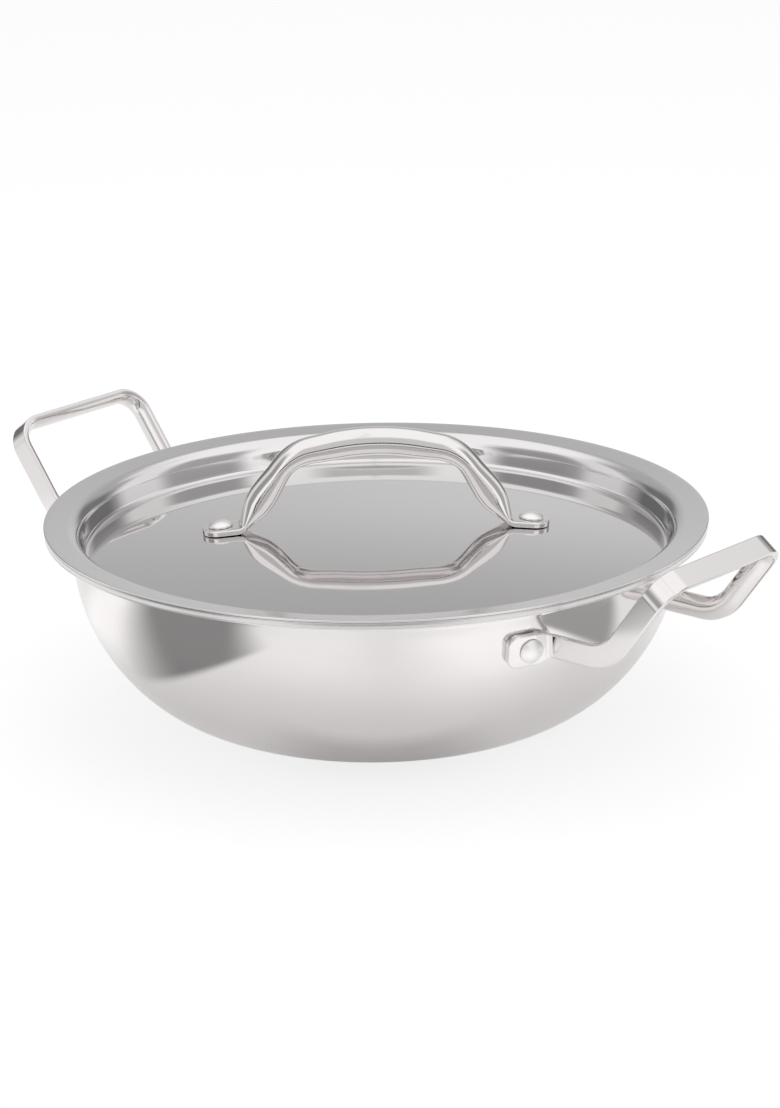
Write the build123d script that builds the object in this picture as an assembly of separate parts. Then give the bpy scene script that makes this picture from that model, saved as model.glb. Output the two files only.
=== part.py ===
from build123d import *
import math
import os

# A 24 cm stainless steel kadai with two loop handles and a sunken lid with a bridge handle.
# Millimetres and degrees. The origin is the centre of the flat base, on the surface it stands on.
# +Z is up, and the two side handles lie along X.

# Bowl: three bonded sheets pressed to a round belly with a flared rim
FLAT_BASE_RADIUS = 52.0
WALL_RADIUS = 116.5
FLARE_WIDTH = 10.0
RIM_HEIGHT = 76.6
FLARE_SLOPE = 6.0
FLARE_BEND_RADIUS = 4.0
BELLY_JOIN_ANGLE = 45.0
OUTER_LAYER = 0.5
CORE_LAYER = 1.5
INNER_LAYER = 0.5
BOND_GAP = 0.02
RIM_ROUNDING = 0.35

# Lid: one pressed sheet whose flange lies on the flared rim
LID_OVERHANG = 0.5
LID_SHEET = 0.8
LID_SEAT_GAP = 0.15
LID_WALL_CLEARANCE = 0.7
LID_SHOULDER_RADIUS = 6.0
LID_CORNER_RADIUS = 2.0
LID_WALL_ANGLE = 80.0
RECESS_DEPTH = 11.3
PANEL_EDGE_SLOPE = 9.6
LID_EDGE_ROUNDING = 0.3

# Side handles: a D-shaped strap bent to a loop, with a flat pad at each end
HANDLE_PROJECTION = 46.5
HANDLE_BAR_RISE = 31.8
HANDLE_MOUNT_DROP = 11.2
MOUNT_SETBACK = 8.66
HANDLE_TILT = 53.0
LEG_SPACING = 66.0
STRAP_WIDTH = 8.8
STRAP_THICKNESS = 4.4
STRAP_EDGE = 2.0
STRAP_ROUNDING = 0.5
NECK_BEND_RADIUS = 4.5
LEG_BEND_RADIUS = 18.0
BAR_CORNER_RADIUS = 9.0
PAD_THICKNESS = 3.0
PAD_HEIGHT = 12.6
PAD_OUTER_LENGTH = 9.0
PAD_INNER_LENGTH = 4.0
PAD_TAPER_LENGTH = 8.0
PAD_CORNER_RADIUS = 4.0
NECK_INSET = 0.3
SEAT_GAP = 0.1

# Rivets: all six alike but for the length that they clamp
RIVET_HEAD_RADIUS = 4.65
RIVET_HEAD_HEIGHT = 2.2
RIVET_HEAD_EDGE = 0.7
RIVET_TAIL_HEIGHT = 1.2
RIVET_TAIL_EDGE = 0.5
RIVET_SHANK_RADIUS = 2.4
RIVET_CLEARANCE = 0.05
RIVET_SEAT_GAP = 0.15

# Lid handle: a round tube with pinched ends, turned on the lid as the lid lies
LID_HANDLE_TURN = 43.4
TUBE_DIAMETER = 11.2
TUBE_TOP_HEIGHT = 35.86
TAB_THICKNESS = 2.4
TAB_WIDTH = 14.0
LID_RIVET_REACH = 59.3
TAB_TIP_LENGTH = 7.2
FOOT_SETBACK = 8.1
SHOULDER_SETBACK = 19.2
CROWN_SLOPE = 9.5
FOOT_BEND_RADIUS = 4.0
SHOULDER_BEND_RADIUS = 18.0
CROWN_RADIUS = 88.0
FOOT_SECTION_WIDTH = 13.4
FOOT_SECTION_THICKNESS = 2.2

# Shares of the way from foot to crown, with the share of the pinch that is left there
LEG_STATION_SHARES = (0.03, 0.10, 0.17, 0.25, 0.34, 0.45, 0.60, 0.80)
LEG_PINCH_SHARES = (1.0, 0.58, 0.22, 0.06, 0.14, 0.26, 0.12, 0.0)

# One overrun serves every cut
OVERRUN = 2.0

SHEET_THICKNESS = OUTER_LAYER + BOND_GAP + CORE_LAYER + BOND_GAP + INNER_LAYER
RIM_RADIUS = WALL_RADIUS + FLARE_WIDTH
LID_RADIUS = RIM_RADIUS + LID_OVERHANG


def sine(angle):
    return math.sin(math.radians(angle))


def cosine(angle):
    return math.cos(math.radians(angle))


def tangent(angle):
    return math.tan(math.radians(angle))


def traced_edges(start, heading, moves, offset):
    """Edges of a line of runs and bends in the XZ plane, moved to its left by offset.

    A run is a length. A bend is a radius with the angle that it turns, positive to the left.
    """
    x = start[0] - offset * sine(heading)
    z = start[1] + offset * cosine(heading)
    edges = []
    for move in moves:
        if isinstance(move, tuple):
            radius, turn = move
            side = math.copysign(1, turn)
            bend = radius - side * offset
            centre_x = x - side * bend * sine(heading)
            centre_z = z + side * bend * cosine(heading)
            points = []
            for share in (0, 1 / 2, 1):
                at = heading + share * turn
                points.append((centre_x + side * bend * sine(at), 0, centre_z - side * bend * cosine(at)))
            edges.append(ThreePointArc(*points))
            heading += turn
            x, z = points[-1][0], points[-1][2]
        else:
            end_x = x + move * cosine(heading)
            end_z = z + move * sine(heading)
            edges.append(Line((x, 0, z), (end_x, 0, end_z)))
            x, z = end_x, end_z
    return edges


def revolved_sheet(start, heading, moves, near, far):
    """The solid of revolution between a traced line moved by near and the same line moved by far."""
    first = traced_edges(start, heading, moves, near)
    second = traced_edges(start, heading, moves, far)
    caps = [Line(first[0] @ 0, second[0] @ 0), Line(first[-1] @ 1, second[-1] @ 1)]
    profile = make_face(first + second + caps)
    return revolve(profile, axis=Axis.Z)


# Bowl profile, from the middle of the base to the rim, along its outside
FLARE_TURN = 90.0 - FLARE_SLOPE
FLARE_BEND_REACH = FLARE_BEND_RADIUS * (1 - sine(FLARE_SLOPE))
FLARE_BEND_RISE = FLARE_BEND_RADIUS * cosine(FLARE_SLOPE)
RIM_UNDERSIDE_RADIUS = RIM_RADIUS + SHEET_THICKNESS * sine(FLARE_SLOPE)
FLARE_RUN = (RIM_UNDERSIDE_RADIUS - WALL_RADIUS - FLARE_BEND_REACH) / cosine(FLARE_SLOPE)
RIM_UNDERSIDE_HEIGHT = RIM_HEIGHT - SHEET_THICKNESS * cosine(FLARE_SLOPE)
NECK_HEIGHT = RIM_UNDERSIDE_HEIGHT - FLARE_RUN * sine(FLARE_SLOPE) - FLARE_BEND_RISE
BELLY_REACH = WALL_RADIUS - FLAT_BASE_RADIUS
JOIN_SINE = sine(BELLY_JOIN_ANGLE)
JOIN_COSINE = cosine(BELLY_JOIN_ANGLE)
BELLY_DIVISOR = JOIN_SINE + JOIN_COSINE - 1
LOWER_BELLY_RADIUS = (BELLY_REACH * JOIN_COSINE - NECK_HEIGHT * (1 - JOIN_SINE)) / BELLY_DIVISOR
UPPER_BELLY_RADIUS = (NECK_HEIGHT * JOIN_SINE - BELLY_REACH * (1 - JOIN_COSINE)) / BELLY_DIVISOR
BOWL_START = (0, 0)
BOWL_MOVES = [
    FLAT_BASE_RADIUS,
    (LOWER_BELLY_RADIUS, BELLY_JOIN_ANGLE),
    (UPPER_BELLY_RADIUS, 90.0 - BELLY_JOIN_ANGLE),
    (FLARE_BEND_RADIUS, -FLARE_TURN),
    FLARE_RUN,
]


def bowl_layer(near, far):
    return revolved_sheet(BOWL_START, 0, BOWL_MOVES, near, far)


def bowl_outer_layer():
    """The outer steel sheet, its rim edge rounded below."""
    layer = bowl_layer(0, OUTER_LAYER)
    rim = layer.edges().filter_by(GeomType.CIRCLE).filter_by(Plane.XY).sort_by(SortBy.RADIUS)[-1]
    return fillet(rim, RIM_ROUNDING)


def bowl_core():
    """The aluminium sheet between the two steel sheets."""
    near = OUTER_LAYER + BOND_GAP
    return bowl_layer(near, near + CORE_LAYER)


def bowl_inner_layer():
    """The inner steel sheet, its rim edge rounded above."""
    layer = bowl_layer(SHEET_THICKNESS - INNER_LAYER, SHEET_THICKNESS)
    rim = layer.edges().filter_by(GeomType.CIRCLE).filter_by(Plane.XY).sort_by(Axis.Z)[-1]
    return fillet(rim, RIM_ROUNDING)


# Lid profile, from the edge of the flange to the middle of the panel, along its top.
# The flange is parallel to the flared rim and lies the seat gap above it.
NECK_INNER_RADIUS = WALL_RADIUS - SHEET_THICKNESS
LID_EDGE_HEIGHT = RIM_HEIGHT + (LID_RADIUS - RIM_RADIUS) * tangent(FLARE_SLOPE)
LID_EDGE_HEIGHT += (LID_SEAT_GAP + LID_SHEET) / cosine(FLARE_SLOPE)
SHOULDER_TURN = LID_WALL_ANGLE - FLARE_SLOPE
SHOULDER_REACH_IN = LID_SHOULDER_RADIUS * (sine(LID_WALL_ANGLE) - sine(FLARE_SLOPE))
SHOULDER_DROP = LID_SHOULDER_RADIUS * (cosine(FLARE_SLOPE) - cosine(LID_WALL_ANGLE))
CORNER_TURN = LID_WALL_ANGLE + PANEL_EDGE_SLOPE
CORNER_DROP = LID_CORNER_RADIUS * (1 - cosine(LID_WALL_ANGLE))
LID_WALL_RUN = (RECESS_DEPTH - SHOULDER_DROP - CORNER_DROP) / sine(LID_WALL_ANGLE)


def lid_wall_top_radius():
    """Radius of the top of the lid's straight wall, which clears the bowl's neck by the clearance."""
    outside = NECK_INNER_RADIUS - LID_WALL_CLEARANCE - LID_SHEET / sine(LID_WALL_ANGLE)
    return outside + (LID_EDGE_HEIGHT - SHOULDER_DROP - NECK_HEIGHT) / tangent(LID_WALL_ANGLE)


FLANGE_INNER_RADIUS = lid_wall_top_radius() + SHOULDER_REACH_IN
FLANGE_RUN = (LID_RADIUS - FLANGE_INNER_RADIUS) / cosine(FLARE_SLOPE)
FLANGE_INNER_HEIGHT = LID_EDGE_HEIGHT - FLANGE_RUN * sine(FLARE_SLOPE)
PANEL_EDGE_RADIUS = lid_wall_top_radius() - LID_WALL_RUN * cosine(LID_WALL_ANGLE)
PANEL_EDGE_RADIUS -= LID_CORNER_RADIUS * (sine(LID_WALL_ANGLE) + sine(PANEL_EDGE_SLOPE))
DOME_RADIUS = PANEL_EDGE_RADIUS / sine(PANEL_EDGE_SLOPE)
PANEL_EDGE_HEIGHT = FLANGE_INNER_HEIGHT - RECESS_DEPTH
PANEL_EDGE_HEIGHT += LID_CORNER_RADIUS * (1 - cosine(PANEL_EDGE_SLOPE))
PANEL_TOP_HEIGHT = PANEL_EDGE_HEIGHT + DOME_RADIUS * (1 - cosine(PANEL_EDGE_SLOPE))
LID_START = (LID_RADIUS, LID_EDGE_HEIGHT)
LID_HEADING = 180.0 + FLARE_SLOPE
LID_MOVES = [
    FLANGE_RUN,
    (LID_SHOULDER_RADIUS, SHOULDER_TURN),
    LID_WALL_RUN,
    (LID_CORNER_RADIUS, -CORNER_TURN),
    (DOME_RADIUS, PANEL_EDGE_SLOPE),
]


def panel_height(reach):
    """Height of the domed panel's top at a distance from the middle."""
    return PANEL_TOP_HEIGHT - DOME_RADIUS + math.sqrt(DOME_RADIUS**2 - reach**2)


def lid_sheet():
    """The lid's sheet with its two rivet holes."""
    lid = revolved_sheet(LID_START, LID_HEADING, LID_MOVES, 0, LID_SHEET)
    rim_edges = lid.edges().filter_by(GeomType.CIRCLE).filter_by(Plane.XY).sort_by(SortBy.RADIUS)[-2:]
    lid = fillet(rim_edges, LID_EDGE_ROUNDING)
    for side in (-1, 1):
        hole = Cylinder(RIVET_SHANK_RADIUS + RIVET_CLEARANCE, LID_SHEET + 2 * OVERRUN)
        lid -= lid_rivet_plane(side) * hole
    return lid


# Side handle places, on the handle that reaches to +X
HANDLE_MOUNT_HEIGHT = NECK_HEIGHT - HANDLE_MOUNT_DROP
HANDLE_BAR_HEIGHT = HANDLE_MOUNT_HEIGHT + HANDLE_BAR_RISE
HANDLE_REACH = WALL_RADIUS + HANDLE_PROJECTION
MOUNT_TILT = math.degrees(math.asin(HANDLE_MOUNT_DROP / UPPER_BELLY_RADIUS))
MOUNT_RADIUS = WALL_RADIUS - UPPER_BELLY_RADIUS * (1 - cosine(MOUNT_TILT))
STRAP_RADIUS = MOUNT_RADIUS + SEAT_GAP + PAD_THICKNESS - NECK_INSET - STRAP_THICKNESS / 2
HANDLE_MOUNT_ANGLE = math.degrees(math.asin((LEG_SPACING / 2 + MOUNT_SETBACK) / STRAP_RADIUS))


def mount_plane(side):
    """Plane on the bowl's outside at a rivet: its Z points straight out of the wall."""
    angle = side * HANDLE_MOUNT_ANGLE
    origin = (MOUNT_RADIUS * cosine(angle), MOUNT_RADIUS * sine(angle), HANDLE_MOUNT_HEIGHT)
    along_wall = (-sine(angle), cosine(angle), 0)
    out_of_wall = (
        cosine(MOUNT_TILT) * cosine(angle),
        cosine(MOUNT_TILT) * sine(angle),
        -sine(MOUNT_TILT),
    )
    return Plane(origin=origin, x_dir=along_wall, z_dir=out_of_wall)


def strap_path():
    """Middle line of the strap, from one pad round the loop to the other."""
    leg_y = LEG_SPACING / 2
    start_along = RIVET_HEAD_RADIUS + RIVET_SEAT_GAP
    pad_x = STRAP_RADIUS * cosine(HANDLE_MOUNT_ANGLE)
    pad_y = STRAP_RADIUS * sine(HANDLE_MOUNT_ANGLE)
    start_x = pad_x + start_along * sine(HANDLE_MOUNT_ANGLE)
    start_y = pad_y - start_along * cosine(HANDLE_MOUNT_ANGLE)
    neck_x = pad_x + (pad_y - leg_y) * tangent(HANDLE_MOUNT_ANGLE)
    bend_x = HANDLE_REACH - HANDLE_BAR_RISE / tangent(HANDLE_TILT)
    half = [
        (start_x, start_y, HANDLE_MOUNT_HEIGHT),
        (neck_x, leg_y, HANDLE_MOUNT_HEIGHT),
        (bend_x, leg_y, HANDLE_MOUNT_HEIGHT),
        (HANDLE_REACH, leg_y, HANDLE_BAR_HEIGHT),
    ]
    first = [(x, -y, z) for x, y, z in half]
    radii = [NECK_BEND_RADIUS, LEG_BEND_RADIUS, BAR_CORNER_RADIUS]
    return FilletPolyline(*first, *reversed(half), radius=radii + radii[::-1])


def strap_section(path):
    """The D-shaped section at the path's start: flat outside, crowned towards the fingers."""
    half_width = STRAP_WIDTH / 2
    half_thickness = STRAP_THICKNESS / 2
    crown_start = half_thickness - STRAP_EDGE
    outline = [
        Line((-half_width, half_thickness), (half_width, half_thickness)),
        Line((half_width, half_thickness), (half_width, crown_start)),
        ThreePointArc((half_width, crown_start), (0, -half_thickness), (-half_width, crown_start)),
        Line((-half_width, crown_start), (-half_width, half_thickness)),
    ]
    section = make_face(outline)
    section = fillet(section.vertices(), STRAP_ROUNDING)
    start_tangent = path % 0
    plane = Plane(origin=path @ 0, x_dir=(0, 0, 1), z_dir=start_tangent)
    return plane * section


def pad_outline():
    """A pad seen from outside: a rounded end, and a taper towards the strap."""
    half_height = PAD_HEIGHT / 2
    half_strap = STRAP_WIDTH / 2
    taper_end = PAD_INNER_LENGTH + PAD_TAPER_LENGTH
    points = [
        (-PAD_OUTER_LENGTH, -half_height),
        (PAD_INNER_LENGTH, -half_height),
        (taper_end, -half_strap),
        (taper_end, half_strap),
        (PAD_INNER_LENGTH, half_height),
        (-PAD_OUTER_LENGTH, half_height),
    ]
    face = make_face(Polyline(*points, close=True))
    return fillet(face.vertices(), PAD_CORNER_RADIUS)


def handle_pad(side):
    """One pad: the part of a shell round the bowl that its outline cuts out."""
    shell = bowl_layer(-SEAT_GAP, -SEAT_GAP - PAD_THICKNESS)
    outline = pad_outline()
    if side > 0:
        outline = mirror(outline, about=Plane.YZ)
    depth = PAD_THICKNESS + SEAT_GAP + OVERRUN
    cutter = extrude(mount_plane(side) * outline, amount=depth, both=True)
    return shell & cutter


def bowl_envelope(gap):
    """Everything that lies inside the bowl's outside moved out by gap, filled to the axis."""
    edges = traced_edges(BOWL_START, 0, BOWL_MOVES, -gap)
    top = edges[-1] @ 1
    closing = [Line(top, (0, 0, top.Z)), Line((0, 0, top.Z), edges[0] @ 0)]
    return revolve(make_face(edges + closing), axis=Axis.Z)


def side_handle(direction):
    """One loop handle, on the side that direction gives: 1 for +X and -1 for -X."""
    path = strap_path()
    strap = sweep(strap_section(path), path=path)
    handle = strap - bowl_envelope(SEAT_GAP)
    for side in (-1, 1):
        handle += handle_pad(side)
    for side in (-1, 1):
        hole = Cylinder(RIVET_SHANK_RADIUS + RIVET_CLEARANCE, 2 * (PAD_THICKNESS + OVERRUN))
        handle -= mount_plane(side) * hole
    if direction < 0:
        handle = Rot(0, 0, 180) * handle
    return handle


def bowl_with_holes(layer):
    """A bowl sheet with the four holes that the side handles' rivets pass through."""
    for direction in (1, -1):
        for side in (-1, 1):
            depth = 2 * (SHEET_THICKNESS + OVERRUN)
            hole = mount_plane(side) * Cylinder(RIVET_SHANK_RADIUS + RIVET_CLEARANCE, depth)
            if direction < 0:
                hole = Rot(0, 0, 180) * hole
            layer -= hole
    return layer


def head_outline(foot, way, height, edge):
    """A rivet head's outline in the XZ plane, from the shank to the axis: an edge, then a dome.

    foot is the level that the head stands on, and way is 1 for a head above it and -1 below it.
    """
    rise = height - edge
    sphere = (RIVET_HEAD_RADIUS**2 + rise**2) / (2 * rise)
    half = math.asin(RIVET_HEAD_RADIUS / sphere) / 2
    drop = sphere * (1 - math.cos(half))
    corner = (RIVET_HEAD_RADIUS, 0, foot)
    edge_end = (RIVET_HEAD_RADIUS, 0, foot + way * edge)
    on_dome = (sphere * math.sin(half), 0, foot + way * (height - drop))
    top = (0, 0, foot + way * height)
    return [
        Line((RIVET_SHANK_RADIUS, 0, foot), corner),
        Line(corner, edge_end),
        ThreePointArc(edge_end, on_dome, top),
    ]


def rivet(grip_below, grip_above):
    """A rivet whose shank reaches down and up from the XY plane to its two heads."""
    head = head_outline(grip_above, 1, RIVET_HEAD_HEIGHT, RIVET_HEAD_EDGE)
    tail = head_outline(-grip_below, -1, RIVET_TAIL_HEIGHT, RIVET_TAIL_EDGE)
    shank = Line(tail[0] @ 0, head[0] @ 0)
    middle = Line(tail[-1] @ 1, head[-1] @ 1)
    return revolve(make_face(head + tail + [shank, middle]), axis=Axis.Z)


def handle_rivet(direction, side):
    """One rivet of a side handle, through its pad and the bowl's wall."""
    body = rivet(SHEET_THICKNESS + RIVET_SEAT_GAP, SEAT_GAP + PAD_THICKNESS + RIVET_CLEARANCE)
    body = mount_plane(side) * body
    if direction < 0:
        body = Rot(0, 0, 180) * body
    return body


# Bridge handle places, from the middle of the lid
TAB_TIP_REACH = LID_RIVET_REACH + TAB_TIP_LENGTH
FOOT_REACH = LID_RIVET_REACH - FOOT_SETBACK
SHOULDER_REACH = FOOT_REACH - SHOULDER_SETBACK
CROWN_DROP = SHOULDER_REACH * tangent(CROWN_SLOPE)


def lid_rivet_plane(side):
    """Plane on the panel's top at a rivet of the lid handle: its Z points out of the panel."""
    lean = math.degrees(math.asin(LID_RIVET_REACH / DOME_RADIUS))
    out_x = side * cosine(LID_HANDLE_TURN)
    out_y = side * sine(LID_HANDLE_TURN)
    origin = (LID_RIVET_REACH * out_x, LID_RIVET_REACH * out_y, panel_height(LID_RIVET_REACH))
    down_panel = (cosine(lean) * out_x, cosine(lean) * out_y, -sine(lean))
    out_of_panel = (sine(lean) * out_x, sine(lean) * out_y, cosine(lean))
    return Plane(origin=origin, x_dir=down_panel, z_dir=out_of_panel)


def arch_path():
    """Middle line of the bridge handle in the XZ plane, from one foot over the crown to the other."""
    tab_height = SEAT_GAP + TAB_THICKNESS / 2
    top_height = LID_EDGE_HEIGHT + TUBE_TOP_HEIGHT - TUBE_DIAMETER / 2
    foot_height = panel_height(FOOT_REACH) + tab_height
    rivet_height = panel_height(LID_RIVET_REACH) + tab_height
    half = [
        (LID_RIVET_REACH - RIVET_HEAD_RADIUS - RIVET_SEAT_GAP, 0, (foot_height + rivet_height) / 2),
        (FOOT_REACH, 0, foot_height),
        (SHOULDER_REACH, 0, top_height - CROWN_DROP),
    ]
    radii = [FOOT_BEND_RADIUS, SHOULDER_BEND_RADIUS]
    left = [(-x, y, z) for x, y, z in half]
    corners = radii + [CROWN_RADIUS] + radii[::-1]
    return FilletPolyline(*left, (0, 0, top_height), *reversed(half), radius=corners)


def arch_tube():
    """The tube: round over the crown, pinched flat across the handle at both feet."""
    path = arch_path()
    stations = []
    for share, pinch in zip(LEG_STATION_SHARES, LEG_PINCH_SHARES):
        stations.append((share / 2, pinch))
    mirrored = [(1 - share, pinch) for share, pinch in reversed(stations)]
    stations = [(0, 1.0)] + stations + [(1 / 2, 0.0)] + mirrored + [(1, 1.0)]
    sections = []
    for share, pinch in stations:
        width = TUBE_DIAMETER + pinch * (FOOT_SECTION_WIDTH - TUBE_DIAMETER)
        height = TUBE_DIAMETER + pinch * (FOOT_SECTION_THICKNESS - TUBE_DIAMETER)
        plane = Plane(origin=path @ share, x_dir=(0, 1, 0), z_dir=path % share)
        sections.append(plane * Ellipse(width / 2, height / 2))
    return loft(sections)


def handle_tab(side):
    """One flat tab of the bridge handle, before the handle is turned on the lid."""
    inner_end = LID_RIVET_REACH - FOOT_REACH
    tip = TAB_TIP_REACH - LID_RIVET_REACH
    half_width = TAB_WIDTH / 2
    corners = [(-inner_end, -half_width), (tip, -half_width), (tip, half_width), (-inner_end, half_width)]
    outline = make_face(Polyline(*corners, close=True))
    outer_corners = outline.vertices().group_by(Axis.X)[-1]
    outline = fillet(outer_corners, half_width - RIVET_SEAT_GAP)
    tab = extrude(outline, amount=TAB_THICKNESS)
    tab -= Cylinder(RIVET_SHANK_RADIUS + RIVET_CLEARANCE, 2 * (TAB_THICKNESS + OVERRUN))
    return lid_rivet_plane(side) * (Pos(0, 0, SEAT_GAP) * tab)


def lid_handle():
    """The bridge handle: the arched tube with a tab at each foot."""
    handle = Rot(0, 0, LID_HANDLE_TURN) * arch_tube()
    for side in (-1, 1):
        handle += handle_tab(side)
    return handle


def lid_rivet(side):
    """One rivet of the bridge handle, through its tab and the lid's panel."""
    body = rivet(LID_SHEET + RIVET_SEAT_GAP, SEAT_GAP + TAB_THICKNESS + RIVET_CLEARANCE)
    return lid_rivet_plane(side) * body


def all_parts():
    """Every piece by its name."""
    parts = {
        "bowl_outer_layer": bowl_with_holes(bowl_outer_layer()),
        "bowl_core": bowl_with_holes(bowl_core()),
        "bowl_inner_layer": bowl_with_holes(bowl_inner_layer()),
        "lid": lid_sheet(),
        "lid_handle": lid_handle(),
    }
    for name, direction in (("right", 1), ("left", -1)):
        parts[f"{name}_handle"] = side_handle(direction)
        for place, side in (("front", -direction), ("rear", direction)):
            parts[f"{name}_handle_{place}_rivet"] = handle_rivet(direction, side)
    for name, side in (("right", 1), ("left", -1)):
        parts[f"lid_{name}_rivet"] = lid_rivet(side)
    return parts


os.makedirs("parts", exist_ok=True)
for part_name, part in all_parts().items():
    export_step(part, f"parts/{part_name}.step")
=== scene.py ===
"""Looks of a polished steel kadai: a three-layer bowl, two loop handles and a sunken lid.

Sizes are in millimetres and degrees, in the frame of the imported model: +Z up, the middle of the right
side handle on +X, the origin in the middle of the base. Meshes are written in metres.
"""

from __future__ import annotations

import logging
import math
from dataclasses import dataclass
from enum import Enum

import bpy
import numpy as np
from mathutils import Matrix

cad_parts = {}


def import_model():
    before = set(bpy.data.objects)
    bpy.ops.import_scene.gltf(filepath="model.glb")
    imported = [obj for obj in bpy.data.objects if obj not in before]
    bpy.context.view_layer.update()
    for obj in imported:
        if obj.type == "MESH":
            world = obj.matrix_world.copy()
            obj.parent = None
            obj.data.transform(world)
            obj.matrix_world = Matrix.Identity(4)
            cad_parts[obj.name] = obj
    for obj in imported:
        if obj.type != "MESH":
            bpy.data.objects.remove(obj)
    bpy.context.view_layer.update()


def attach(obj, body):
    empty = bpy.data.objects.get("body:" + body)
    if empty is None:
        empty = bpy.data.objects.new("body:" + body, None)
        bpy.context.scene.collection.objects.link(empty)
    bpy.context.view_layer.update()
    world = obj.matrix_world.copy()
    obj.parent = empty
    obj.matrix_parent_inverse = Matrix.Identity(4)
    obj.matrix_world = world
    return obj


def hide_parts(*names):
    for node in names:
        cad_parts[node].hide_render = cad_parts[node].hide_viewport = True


Array = np.ndarray
Piece = bpy.types.Object
Tree = bpy.types.NodeTree
Socket = bpy.types.NodeSocket
LOG = logging.getLogger("kadai")

# Metres in a millimetre
MILLIMETRE = 0.001

# Distance from the end of a straight run to the point that holds its shading flat
SUPPORT = 0.15

# Widest turn between two points of a path's arc
ARC_STEP = 5.0

# How far a rivet's tail and head stand off the sheets that it grips
TAIL_GAP = 0.15
HEAD_GAP = 0.05

# Width of a smear on a finish, and the share of its change of roughness that the grain adds
SMEAR_WIDTH = 28.0
GRAIN_SHARE = 0.3

# Half the width of the ring in which a turned finish becomes satin
SATIN_EDGE = 2.0

# Points on a turned ring, and on one of a piece that stays within the small radius
AROUND = 240
AROUND_SMALL = 64
SMALL_RADIUS = 20.0


class Body(Enum):
    """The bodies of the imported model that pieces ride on."""

    PAN = "pan"
    LID = "lid"


class Slot(Enum):
    """The record's material slots."""

    OUTSIDE = "polished_steel_outside"
    CORE = "aluminium_core"
    INSIDE = "satin_steel_inside"
    HANDLES = "polished_steel_handles"
    RIVETS = "steel_rivets"
    LID = "polished_steel_lid"


# Shapes: lines in a plane, lines in space, and skins over rings of points


@dataclass(frozen=True)
class Bend:
    """An arc of a traced line: its radius, and the angle that it turns, positive to the left."""

    radius: float
    turn: float


def sine(angle: float) -> float:
    """The sine of an angle in degrees."""
    return math.sin(math.radians(angle))


def cosine(angle: float) -> float:
    """The cosine of an angle in degrees."""
    return math.cos(math.radians(angle))


def tangent(angle: float) -> float:
    """The tangent of an angle in degrees."""
    return math.tan(math.radians(angle))


def unit(vectors: Array) -> Array:
    """Vectors of length 1 with the same directions."""
    return vectors / np.linalg.norm(vectors, axis=-1, keepdims=True)


def about_z(angle: float) -> Array:
    """The 3 by 3 matrix that turns places about +Z by an angle in degrees."""
    return np.array([[cosine(angle), -sine(angle), 0], [sine(angle), cosine(angle), 0], [0, 0, 1]])


def eased(value: Array, low: float, high: float) -> Array:
    """A smooth step: 0 up to low, 1 from high, and 3 t squared less 2 t cubed between them."""
    share = np.clip((value - low) / (high - low), 0, 1)
    return share * share * (3 - 2 * share)


def drawn_in(distance: Array, radius: float) -> Array:
    """How far a quarter circle at a line's end draws it in: r - sqrt(r^2 - (r - d)^2), and 0 past r."""
    short = np.clip(radius - distance, 0, radius)
    return radius - np.sqrt(radius**2 - short**2)


def curve(start: Array, bend: Array, end: Array, count: int) -> Array:
    """Points on the curve (1 - t)^2 start + 2 t (1 - t) bend + t^2 end, with t from 0 to 1."""
    t = np.linspace(0, 1, count)[:, None]
    return (1 - t) ** 2 * start + 2 * t * (1 - t) * bend + t**2 * end


def run_stops(length: float, spacing: float) -> Array:
    """Places along a straight run: evenly spaced, with one close to each end to hold the shading flat.

    Args:
        length: The run's length.
        spacing: The widest step.

    Returns:
        The distances from the start, rising from 0 to the length.
    """
    count = max(math.ceil(length / spacing), 1)
    near = [SUPPORT, length - SUPPORT] if length > 3 * SUPPORT else []
    stops = np.sort(np.concatenate([np.linspace(0, length, count + 1), near]))
    stops = stops[np.concatenate([[True], np.diff(stops) > SUPPORT / 10])]
    stops[-1] = length
    return stops


def traced(
    start: tuple[float, float],
    heading: float,
    moves: list[float | Bend],
    offset: float,
    spacing: float,
    turn_step: float,
) -> Array:
    """A line of runs and bends in the plane of radius and height, moved to its left by an offset.

    A run adds its length along the heading. A bend is a circle about the centre that lies its radius
    to the side, so a parallel line keeps the centres and changes the radii by the offset.

    Args:
        start: Radius and height where the line starts.
        heading: The first direction, from the radius axis.
        moves: The runs and bends in order.
        offset: How far the line is moved to its left.
        spacing: The widest step between points.
        turn_step: The widest turn between points.

    Returns:
        An array of points, each a radius and a height.
    """
    here = np.array([start[0] - offset * sine(heading), start[1] + offset * cosine(heading)])
    pieces = [here[None]]
    for move in moves:
        if isinstance(move, Bend):
            side = math.copysign(1.0, move.turn)
            radius = move.radius - side * offset
            arc = radius * math.radians(abs(move.turn))
            steps = max(math.ceil(abs(move.turn) / turn_step), math.ceil(arc / spacing), 2)
            centre = here + side * radius * np.array([-sine(heading), cosine(heading)])
            at = np.radians(heading + move.turn * np.linspace(0, 1, steps + 1))
            points = centre + side * radius * np.stack([np.sin(at), -np.cos(at)], axis=1)
            heading += move.turn
        else:
            direction = np.array([cosine(heading), sine(heading)])
            points = here + run_stops(move, spacing)[:, None] * direction
        pieces.append(points[1:])
        here = points[-1]
    return np.concatenate(pieces)


def shortened(line: Array, length: float) -> Array:
    """A line without the points that lie within a length of its end."""
    return line[np.linalg.norm(line - line[-1], axis=1) > length + SUPPORT / 3]


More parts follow.
